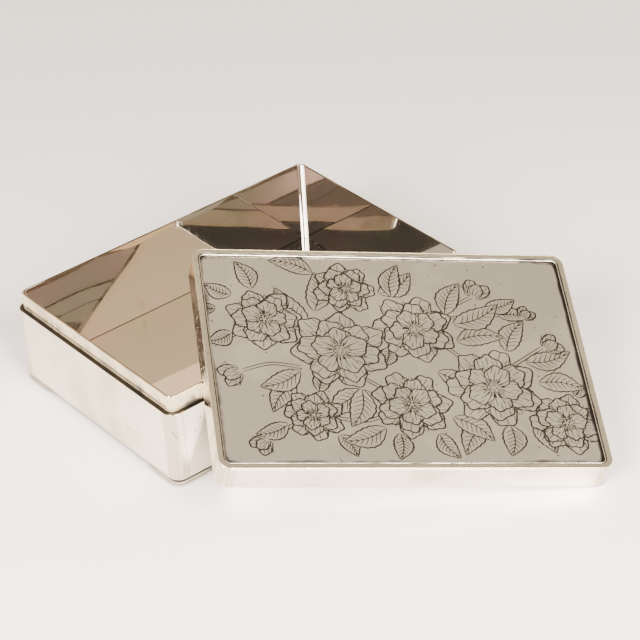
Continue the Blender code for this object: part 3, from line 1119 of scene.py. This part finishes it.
def near_corner(tree, point):
    """1 on the round corners and 0 on the flat sides: both |x| and |y| must be near their ends."""
    ends = []
    for axis, size in zip(parts(tree, point)[:2], (BODY_LENGTH, BODY_WIDTH)):
        ends.append(edge_ramp(tree, maths(tree, "ABSOLUTE", axis), size / 2, -9, -3))
    return product(tree, *ends)


def mottled(tree, point, share):
    """Silver that turns duller in broad soft patches, by a share on top of a noise."""
    level = maths(tree, "ADD", noise(tree, point, 26.0, 3.0), share)
    return mixed(tree, smooth_ramp(tree, level, 0.45, 0.68), SILVER, DULL_SILVER)


def scratch(tree, point, start, end):
    """1 along a fine scratch between two places, thin at its ends.

    With d the offset from its middle, it is a ramp of |d - d along the scratch| times one of the rest.
    """
    start, end = Vector(start), Vector(end)
    half = (end - start).length / 2
    offset = vector_maths(tree, "SUBTRACT", point, (start + end) / 2)
    along = vector_maths(tree, "PROJECT", offset, end - start)
    across = vector_maths(tree, "DISTANCE", offset, along, output="Value")
    reach = vector_maths(tree, "LENGTH", along, output="Value")
    return product(tree, edge_ramp(tree, across, 0.0, 0.3, 0.1), smooth_ramp(tree, reach, half, half * 0.6))


def make_polished(name, place, dark_places, bands, dullness, scratches=()):
    """Polished metal. dark_places(tree, inset, height) gives a mask for the tarnish."""
    material, tree, shader, point, inset, height = new_metal(name, place)
    # Upright streaks and corner bands: partly rubbing, partly a painted reflection of the floor. They darken
    # the colour through the tarnish mask and make the silver duller round the corners.
    streaks = patches(tree, point, 60.0, 2.0, 0.35, 0.75, (1.2, 1.2, 0.15))
    fine = patches(tree, point, 60.0, 1.0, 0.35, 0.65, (9.0, 9.0, 0.1))
    corner_bands = product(tree, near_corner(tree, point), fine)
    share = maths(tree, "MULTIPLY_ADD", corner_bands, 1.4, streaks)
    mask = maths(tree, "MULTIPLY_ADD", share, bands, dark_places(tree, inset, height))
    for start, end in scratches:
        mask = maths(tree, "MULTIPLY_ADD", scratch(tree, point, start, end), SCRATCH_DARKNESS, mask)
    clean = mottled(tree, point, maths(tree, "MULTIPLY_ADD", corner_bands, 0.7, dullness))
    stained = tarnished(tree, point, mask, 42.0, 0.6, clean)
    tree.links.new(stained["Color"], shader.inputs["Base Color"])
    apply_wear(tree, shader, point, 0.05, 0.16, 0.2, 0.5, stained["Amount"])
    return material


def ledge_and_foot_join(tree, inset, height):
    """The ledge, dark from 0.3 mm behind its edge, and a fainter line just above the feet."""
    deep = edge_ramp(tree, inset, 0.0, 0.19, 0.3)
    ledge = product(tree, deep, edge_ramp(tree, height, SHOULDER_HEIGHT, -0.5, -0.2))
    join = edge_ramp(tree, height, FOOT_HEIGHT, 1.0, 0.5)
    return maths(tree, "MULTIPLY_ADD", ledge, 2.0, product(tree, join, 0.55))


def foot_top(tree, inset, height):
    """The upper third of a foot, where it meets the body."""
    return product(tree, edge_ramp(tree, height, FOOT_HEIGHT, -1.35, -1.05), 2.0)


def skirt_edges(tree, inset, height):
    """The lower edge of the lid's skirt."""
    return product(tree, edge_ramp(tree, height, 0.0, 0.8, 0.1), 0.7)


polished_box = make_polished("polished box", box_place, ledge_and_foot_join, 0.36, 0.0, SCRATCHES)
polished_feet = make_polished("polished feet", box_place, foot_top, 0.2, 0.1)
polished_lid = make_polished("polished lid", lid_place, skirt_edges, 0.26, 0.0)
print("polished metals:", polished_box.name, polished_feet.name, polished_lid.name)

# %% [markdown]
# The collar is polished outside, with dull marks of handling that grow toward the far end, grey smudges
# low down and a line rubbed dull just above the ledge. Its inside and the floor are a deeper mirror,
# clouded pink in some places and green in others: each further reflection in it adds to the tint. A
# thin line of dirt marks the join of wall and floor. The floor rises a little in its middle, which
# bends what it reflects. That rise is in the normals alone, because it is too slight to see otherwise.

# %% Lining silver
LINING = (0.86, 0.82, 0.78, 1.0)
PINK_LINING = (0.885, 0.81, 0.775, 1.0)
GREEN_LINING = (0.84, 0.83, 0.765, 1.0)
COLLAR = (0.77, 0.625, 0.395, 1.0)
DULL_COLLAR = (0.23, 0.20, 0.155, 1.0)
JOIN_DIRT = (0.20, 0.18, 0.16, 1.0)
FLOOR_RISE = 0.8 * MM
COLLAR_FACE = COLLAR_INSET + COLLAR_THICK
FLOOR_TOP = wall_foot + FLOOR_THICK


def domed(tree, point, normal):
    """The normal of a floor that rises by FLOOR_RISE * (1 - (x / a)^2) * (1 - (y / b)^2)."""
    shares = []
    for axis, size in zip(parts(tree, point)[:2], (BODY_LENGTH, BODY_WIDTH)):
        ratio = maths(tree, "DIVIDE", axis, size / 2)
        shares.append(maths(tree, "SUBTRACT", 1.0, product(tree, ratio, ratio)))
    rise = product(tree, *shares, FLOOR_RISE)
    sockets = {"Strength": 1.0, "Distance": 1.0, "Height": rise, "Normal": normal}
    return add_node(tree, "Bump", sockets).outputs[0]


def collar_outside(tree, point, height):
    """The collar's colour outside: dulled by the greater of broad handling marks and low smudges."""
    far_end = edge_ramp(tree, parts(tree, point)["Y"], 0.0, 0, 50)
    level = maths(tree, "MULTIPLY_ADD", far_end, 0.07, noise(tree, point, 55.0, 4.0))
    handled = smooth_ramp(tree, level, 0.44, 0.62)
    low = edge_ramp(tree, height, SHOULDER_HEIGHT, 8.0, 2.0)
    smudge = product(tree, low, patches(tree, point, 130.0, 5.0, 0.49, 0.60))
    touched = maths(tree, "MAXIMUM", product(tree, handled, 0.45), smudge)
    return mixed(tree, touched, COLLAR, DULL_COLLAR)


def make_lining(name, rises):
    """The collar's and the floor's metal. It turns from outside to inside near the inner face.

    Tarnish grows at the ledge outside, on the inner half of the rim and where wall and floor meet.
    """
    material, tree, shader, point, inset, height = new_metal(name, box_place)
    inner = edge_ramp(tree, inset, COLLAR_INSET, 0.85, 0.97)
    outer = maths(tree, "SUBTRACT", 1.0, inner)
    lining = mixed(tree, patches(tree, point, 22.0, 4.0, 0.38, 0.62), PINK_LINING, GREEN_LINING)
    tone = mixed(tree, inner, collar_outside(tree, point, height), lining)
    seam = edge_ramp(tree, height, SHOULDER_HEIGHT, 0.3, 0.1)
    grown = product(tree, maths(tree, "MULTIPLY_ADD", seam, 2.0, 0.3), outer)
    low_rub = edge_ramp(tree, height, SHOULDER_HEIGHT, 2.6, 1.0)
    rubbed = product(tree, maths(tree, "MULTIPLY_ADD", low_rub, 1.3, 0.4), outer)
    near_floor = edge_ramp(tree, height, FLOOR_TOP, 1.5, 0.2)
    near_wall = edge_ramp(tree, inset, COLLAR_FACE, 1.8, 0.1)
    crack_height = edge_ramp(tree, height, FLOOR_TOP, 0.5, 0.15)
    crack_inset = edge_ramp(tree, inset, COLLAR_FACE, 0.5, 0.15)
    rim_height = edge_ramp(tree, height, RIM_HEIGHT, -0.5, -0.2)
    rim_inset = edge_ramp(tree, inset, COLLAR_INSET, 0.35, 0.55)
    rim = product(tree, rim_height, rim_inset)
    joins = maths(tree, "MULTIPLY_ADD", rim, 0.85, product(tree, near_floor, near_wall, 0.15))
    mask = maths(tree, "ADD", maths(tree, "MULTIPLY_ADD", inner, 0.18, grown), joins)
    stained = tarnished(tree, point, mask, 46.0, 0.08, tone)
    crack = product(tree, crack_height, crack_inset, 0.85)
    tree.links.new(mixed(tree, crack, stained["Color"], JOIN_DIRT), shader.inputs["Base Color"])
    normal = apply_wear(tree, shader, point, 0.012, 0.03, 0.9, 0.04, rubbed)
    if rises:
        tree.links.new(domed(tree, point, normal), shader.inputs["Normal"])
    return material


wall_lining = make_lining("wall lining", False)
floor_lining = make_lining("floor lining", True)
print("lining metals:", wall_lining.name, floor_lining.name)

# %% [markdown]
# The border and its wire have a dull shine. Cloths don't reach into the groove between them, nor into
# the join between wire and panel, so both are dark seams.

# %% Border silver
BORDER = (0.975, 0.89, 0.63, 1.0)
BORDER_SPREAD = 0.2


def make_border():
    """Border silver, with a mask of 0.12 everywhere, 1 more in the groove and 0.7 more in the join."""
    material, tree, shader, point, inset, _ = new_metal("border", lid_place)
    groove = product(tree, edge_ramp(tree, inset, 0.0, 2.25, 2.46), edge_ramp(tree, inset, 0.0, 3.14, 3.0))
    join = edge_ramp(tree, inset, 0.0, 3.28, 3.4)
    mask = maths(tree, "MULTIPLY_ADD", groove, 1.0, maths(tree, "MULTIPLY_ADD", join, 0.7, 0.12))
    stained = tarnished(tree, point, mask, 110.0, 0.4, BORDER, BORDER_SPREAD)
    tree.links.new(stained["Color"], shader.inputs["Base Color"])
    apply_wear(tree, shader, point, 0.22, 0.34, 0.3, 0.4, stained["Amount"])
    return material


border = make_border()
print("border metal:", border.name)

# %% [markdown]
# The panel is satin. Tarnish fills the furrows, rings the edge and gathers in the corners, and a painted
# shade darkens a strip along the right end, beside the wall of the recess. Both change the colour there and
# not the shine, so that the panel stays one even sheet. The underside is plain lining silver.

# %% Panel silver
PANEL = (1.0, 0.965, 0.80, 1.0)
INK = (0.034, 0.029, 0.024, 1)


def make_panel_silver():
    """Satin with ink in the furrows. The mask adds up edge, rim, corners and right end."""
    material, tree, shader, point, inset, height = new_metal("panel", lid_place)
    edge = edge_ramp(tree, inset, 0.0, 8.0, 2.6)
    rim = edge_ramp(tree, inset, 0.0, 4.2, 3.3)
    corner = product(tree, near_corner(tree, point), 0.7)
    # Painted shade: a dark strip along the right end, beside the wall of the recess, added to the tarnish
    # mask.
    right_end_shade = edge_ramp(tree, parts(tree, point)["X"], BODY_LENGTH / 2, -5.6, -3.8)
    ends = maths(tree, "MULTIPLY_ADD", right_end_shade, 0.6, corner)
    mask = maths(tree, "ADD", maths(tree, "MULTIPLY_ADD", rim, 0.5, product(tree, edge, 0.9)), ends)
    stained = tarnished(tree, point, mask, 75.0, 0.45, PANEL)
    mark = add_node(tree, "Attribute", attribute_name="furrow").outputs["Fac"]
    filled = smooth_ramp(tree, mark, 0.0, 0.3)
    ink = mixed(tree, filled, stained["Color"], INK)
    under = edge_ramp(tree, height, skirt_top, -0.4, -0.8)
    tree.links.new(mixed(tree, under, ink, LINING), shader.inputs["Base Color"])
    satin = maths(tree, "MULTIPLY_ADD", under, -0.22, 0.24)
    smudged = maths(tree, "ADD", satin, 0.08)
    apply_wear(tree, shader, point, satin, smudged, 0.25, 0.2, maths(tree, "SUBTRACT", filled, under))
    return material


panel_silver = make_panel_silver()

# %% [markdown]
# Each piece gets the metal that it shows. The collar and the floor share one finish, and so do the
# moulding and the wire, as they would on a box that is polished piece by piece.

# %% Each piece gets its silver
body_wall.data.materials.append(polished_box)
for piece in feet.values():
    piece.data.materials.append(polished_feet)
collar.data.materials.append(wall_lining)
floor_plate.data.materials.append(floor_lining)
for piece in (moulding, wire):
    piece.data.materials.append(border)
skirt.data.materials.append(polished_lid)
panel.data.materials.append(panel_silver)
print("materials:", ", ".join(material.name for material in bpy.data.materials if material.users))

# %% [markdown]
# The studio is pale paper under two soft lamps, one to each side of the camera. Between them it is dark,
# and that dark gap is what draws the black band in the far walls. The lamps themselves are the two white
# stripes in the far corner.
#
# Directions here are seen from the box: a turn to the left from straight ahead of the camera, and a
# rise above the floor.

# %% Directions in the studio
AHEAD = math.radians(90) + CAMERA_TURN


def toward(turn, rise):
    """The unit direction at a turn to the left from ahead and a rise, both in degrees."""
    turn, rise = math.radians(turn) + AHEAD, math.radians(rise)
    return Vector((math.cos(turn) * math.cos(rise), math.sin(turn) * math.cos(rise), math.sin(rise)))


# %% [markdown]
# The paper is one flat sheet, wide enough to fill the view and every reflection. Its colour adds three things
# that the lamps alone don't give, all painted light and shade: a painted shade that darkens it far off, a
# painted shade right against the box and lid, and, to a ray that has been mirrored three times, a darker
# brown with a painted brown glow. A narrow strip glows under the lid's raised edge, where the photographed
# paper is as bright as the rest of the table.

# %% Paper
PAPER_REACH = 4.0
PAPER_BRIGHT_TO = -0.22
PAPER_FAR_SHADE_FROM = 0.35
PAPER_BRIGHT = (0.93, 0.91, 0.89, 1)
PAPER_FAR_SHADE = (0.60, 0.575, 0.55, 1)
PAPER_SHADE = (0.38, 0.34, 0.30, 1)
PAPER_DEEP_SHADE = (0.34, 0.29, 0.26, 1)
PAPER_GLOW = (0.34, 0.28, 0.23, 1)
PAPER_DEPTH = 3
CONTACT_REACH = 3 * MM
LINE_REACH = 1.2 * MM
SKY_REACH = 80 * MM
SKIRT_LIGHT = 3.3
SKIRT_LIGHT_COLOUR = (1.0, 0.965, 0.93, 1)
STRIP_WIDTH = 24
STRIP_FADE = 12


def under_skirt(tree, place):
    """1 where the eye sees paper right under the skirt's raised near edge, 0 from 24 mm nearer.

    A ray from the eye past each end of that edge meets the paper. The strip starts at the line between
    those two points.
    """
    eye = camera.matrix_world.translation
    ends = []
    for way in (-1, 1):
        corner = lid_place @ Vector((way * BODY_LENGTH / 2, -BODY_WIDTH / 2, 0.0))
        ends.append(eye + (corner - eye) * (eye.z / (eye.z - corner.z)))
    line = (ends[1] - ends[0]).normalized()
    nearer = Vector((line.y, -line.x, 0.0))
    middle = (ends[0] + ends[1]) / 2
    measures = []
    for way in (nearer, line):
        reach = vector_maths(tree, "DOT_PRODUCT", place, way, output="Value")
        measures.append(maths(tree, "SUBTRACT", reach, middle.dot(way)))
    before, beside = measures
    fading = edge_ramp(tree, before, 0.0, STRIP_WIDTH, 0)
    starting = edge_ramp(tree, before, 0.0, -1.5, 0.5)
    half = (ends[1] - ends[0]).length / 2
    beside = edge_ramp(tree, maths(tree, "ABSOLUTE", beside), half, 0, -STRIP_FADE)
    return product(tree, fading, starting, beside)


def openness(tree, distance):
    """1 where nothing stands within a distance, down to 0 in a closed corner."""
    return add_node(tree, "AmbientOcclusion", {"Distance": distance}).outputs["AO"]


def make_paper():
    """A wide flat floor. Its shade is the darkest of a contact, a thin line and a broad shadow."""
    mesh = bpy.data.meshes.new("paper")
    r = PAPER_REACH
    mesh.from_pydata([(-r, -r, 0), (r, -r, 0), (r, r, 0), (-r, r, 0)], [], [(0, 1, 2, 3)])
    paper = bpy.data.objects.new("paper", mesh)
    bpy.context.collection.objects.link(paper)
    material = bpy.data.materials.new("paper")
    material.use_nodes = True
    tree = material.node_tree
    shader = tree.nodes["Principled BSDF"]
    place = add_node(tree, "TexCoord").outputs["Object"]
    # Painted shade: the paper's colour darkens from front to back, more than the lamps' own falloff.
    depth = vector_maths(tree, "DOT_PRODUCT", place, tuple(toward(0, 0)), output="Value")
    tone = mixed(tree, smooth_ramp(tree, depth, PAPER_BRIGHT_TO, PAPER_FAR_SHADE_FROM), PAPER_BRIGHT, PAPER_FAR_SHADE)
    sockets = {"Vector": place, "Location": box_middle}
    box_point = add_node(tree, "Mapping", sockets, vector_type="TEXTURE").outputs[0]
    by_box = edge_ramp(tree, group_node(tree, plan_distance, {"Vector": box_point})["Inset"], 0.0, -9, -3)
    contact = product(tree, smooth_ramp(tree, openness(tree, CONTACT_REACH), 0.93, 0.50), by_box)
    line = product(tree, smooth_ramp(tree, openness(tree, LINE_REACH), 0.95, 0.5), 0.45)
    open_sky = openness(tree, SKY_REACH)
    wide = smooth_ramp(tree, open_sky, 0.40, 0.15)
    shade = maths(tree, "MAXIMUM", maths(tree, "MAXIMUM", contact, line), wide)
    # Painted shade and painted light: a ray mirrored three times sees the paper a darker brown, glowing
    # brown.
    deep = glow_when_deep(material, PAPER_GLOW, PAPER_DEPTH)
    colour = mixed(tree, deep, mixed(tree, shade, tone, PAPER_SHADE), PAPER_DEEP_SHADE)
    tree.links.new(colour, shader.inputs["Base Color"])
    covered = product(tree, smooth_ramp(tree, open_sky, 0.97, 0.75), SKIRT_LIGHT)
    thrown = product(tree, under_skirt(tree, place), covered)
    tree.links.new(maths(tree, "MAXIMUM", thrown, deep), shader.inputs["Emission Strength"])
    tree.links.new(mixed(tree, deep, SKIRT_LIGHT_COLOUR, PAPER_GLOW), shader.inputs["Emission Color"])
    shader.inputs["Roughness"].default_value = 0.6
    shader.inputs["Specular IOR Level"].default_value = 0.1
    mesh.materials.append(material)
    return paper


paper = make_paper()
print("paper:", 2 * PAPER_REACH, "m wide")

# %% [markdown]
# Each lamp is a large rectangle close to the table, so its light falls off a little across the paper; painted
# shade in the paper's colour does the rest, so that the paper is brightest in front and dimmer behind. A row
# gives a lamp's name, its turn and rise, its width and height in metres and its radiance.

# %% Lamps
LAMP_DISTANCE = 2.0
LAMP_COLOUR = (1.0, 0.94, 0.88)
LAMPS = (
    ("left lamp", 146, 33, (0.90, 1.0), 61),
    ("right lamp", -149, 33, (0.80, 1.0), 64),
)


def lamp(name, turn, rise, size, radiance):
    """A rectangular soft lamp that faces the box. A lamp's power is pi * area * radiance."""
    data = bpy.data.lights.new(name, "AREA")
    data.shape = "RECTANGLE"
    data.size, data.size_y = size
    data.energy = math.pi * size[0] * size[1] * radiance
    data.color = LAMP_COLOUR
    light = bpy.data.objects.new(name, data)
    direction = toward(turn, rise)
    light.location = box_middle + direction * LAMP_DISTANCE
    light.rotation_euler = direction.to_track_quat("Z", "Y").to_euler()
    bpy.context.collection.objects.link(light)


for row in LAMPS:
    lamp(*row)

# %% [markdown]
# The rest of the room is a dim world with four broad, warm-coloured cards in it: one ahead, one to each
# side and one overhead. Each card is a disc of directions with a soft edge: its brightness is a smooth
# step of the cosine of the angle from its middle. A row gives its turn, rise, radius and softness in
# degrees, its radiance and its colour.

# %% Room
ROOM_BRIGHTNESS = 0.065
ROOM_TINT = (1.0, 0.85, 0.72)
CARDS = (
    (0, 0, 48, 12, 1.45, (1.0, 0.68, 0.38)),
    (-104, 30, 30, 12, 1.08, (0.84, 0.61, 0.37)),
    (76, 28, 34, 14, 0.75, (1.0, 0.84, 0.71)),
    (0, 90, 42, 20, 0.64, (1.0, 0.85, 0.72)),
)


def make_room():
    """World brightness: dim, plus for each card its radiance times a smooth step of the cosine."""
    world = bpy.data.worlds.new("room")
    world.use_nodes = True
    tree = world.node_tree
    direction = add_node(tree, "TexCoord").outputs["Generated"]
    total = tuple(ROOM_BRIGHTNESS * part for part in ROOM_TINT)
    for turn, rise, radius, softness, radiance, colour in CARDS:
        cosine = vector_maths(tree, "DOT_PRODUCT", direction, tuple(toward(turn, rise)), output="Value")
        start, end = (math.cos(math.radians(radius + way * softness)) for way in (1, -1))
        light = tuple(radiance * part for part in colour)
        total = vector_maths(tree, "MULTIPLY_ADD", smooth_ramp(tree, cosine, start, end), light, total)
    tree.links.new(total, tree.nodes["Background"].inputs["Color"])
    bpy.context.scene.world = world


make_room()
print("room:", len(CARDS), "cards")

# %% [markdown]
# Last, each piece is told which body carries it, and the solid of the frame that it stands for is hidden. The
# lid's four pieces ride on one body, so that they lift off together.

# %% Bodies and the hidden frame
for piece in (body_wall, collar, floor_plate, *feet.values()):
    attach(piece, "box")
for piece in (skirt, moulding, wire, panel):
    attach(piece, "lid")
for piece, node, slot in (
    (body_wall, "body_wall", "polished_silver"),
    (collar, "collar", "lining_silver"),
    (floor_plate, "base_plate", "lining_silver"),
    (skirt, "lid_skirt", "polished_silver"),
    (moulding, "lid_moulding", "border_silver"),
    (wire, "lid_bead", "border_silver"),
    (panel, "lid_panel", "panel_silver"),
):
    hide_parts(node)
for word, piece in feet.items():
    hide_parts("foot_" + word)
